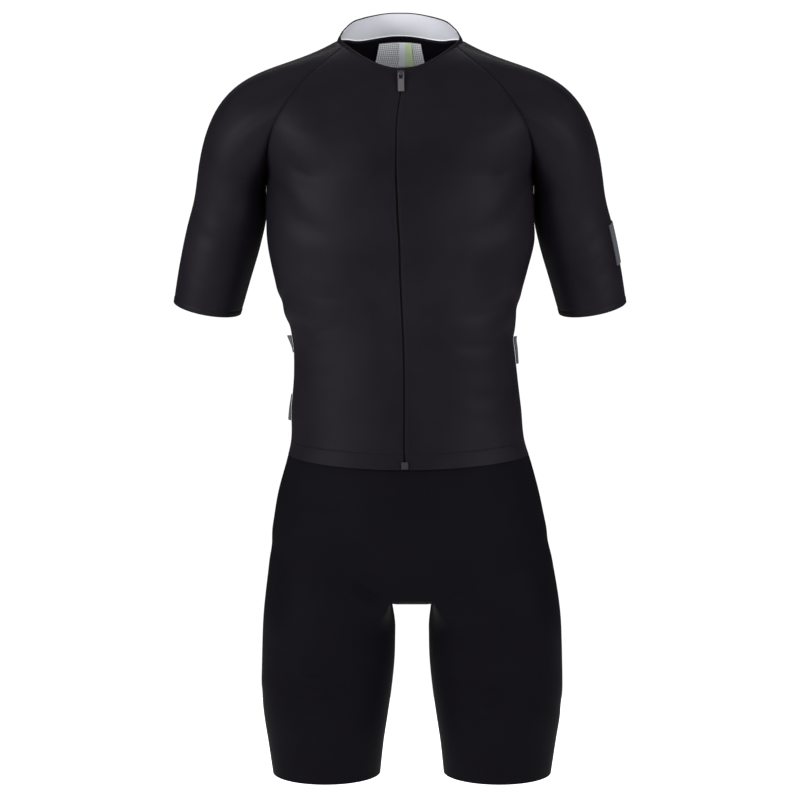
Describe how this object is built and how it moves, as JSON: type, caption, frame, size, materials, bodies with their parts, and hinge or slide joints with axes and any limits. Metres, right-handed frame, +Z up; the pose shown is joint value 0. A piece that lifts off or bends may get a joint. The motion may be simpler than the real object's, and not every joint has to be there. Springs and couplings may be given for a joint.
{
  "type": "skinsuit",
  "caption": "Black short-sleeved cycling skinsuit in its worn, hollow form: raglan sleeves, front zip, low collar with a pale lining, and close-fitting shorts under a free jersey hem.",
  "frame": {"origin": "in the neck opening at the level of the neckline's sides, on the wearer's middle line, where the neck and shoulders carry the suit", "axes": "+Z up the body, the front faces -Y, +X to the viewer's right, which is the wearer's left"},
  "size_m": [0.58, 0.2421, 0.9703],
  "materials": {
    "jersey_knit": "fine stretch knit with a soft sheen, near black",
    "shorts_knit": "dense compression knit, matt near black",
    "collar_knit": "pale grey brushed knit",
    "mesh_cloth": "pale open mesh",
    "label_film": "plain satin label, two pale tones",
    "zip_tape_cloth": "black woven tape",
    "zip_metal": "satin grey metal",
    "pull_plastic": "grey moulded pull",
    "reflective_film": "grey reflective film"
  },
  "bodies": {
    "suit": {"front_right": "jersey_knit", "front_left": "jersey_knit", "back": "jersey_knit", "sleeve_right": "jersey_knit", "sleeve_left": "jersey_knit", "collar": "jersey_knit", "back_pocket": "jersey_knit", "shorts_front": "shorts_knit", "shorts_back_right": "shorts_knit", "shorts_back_left": "shorts_knit", "gusset": "shorts_knit", "collar_lining": "collar_knit", "neck_patch": "mesh_cloth", "neck_label": "label_film", "zip_tape": "zip_tape_cloth", "zip_slider": "zip_metal", "zip_end": "zip_metal", "tab_right_upper": "reflective_film", "tab_right_lower": "reflective_film", "tab_left_upper": "reflective_film", "strip_left": "reflective_film"},
    "pull": {"zip_pull": "pull_plastic"}
  },
  "joints": [
    {"name": "pull_swing", "type": "hinge", "parent": "suit", "child": "pull", "pos_m": [0.00107, -0.07414, -0.04654], "axis": [-0.9999, -0.0051, -0.01], "range_deg": [0, 150]}
  ]
}
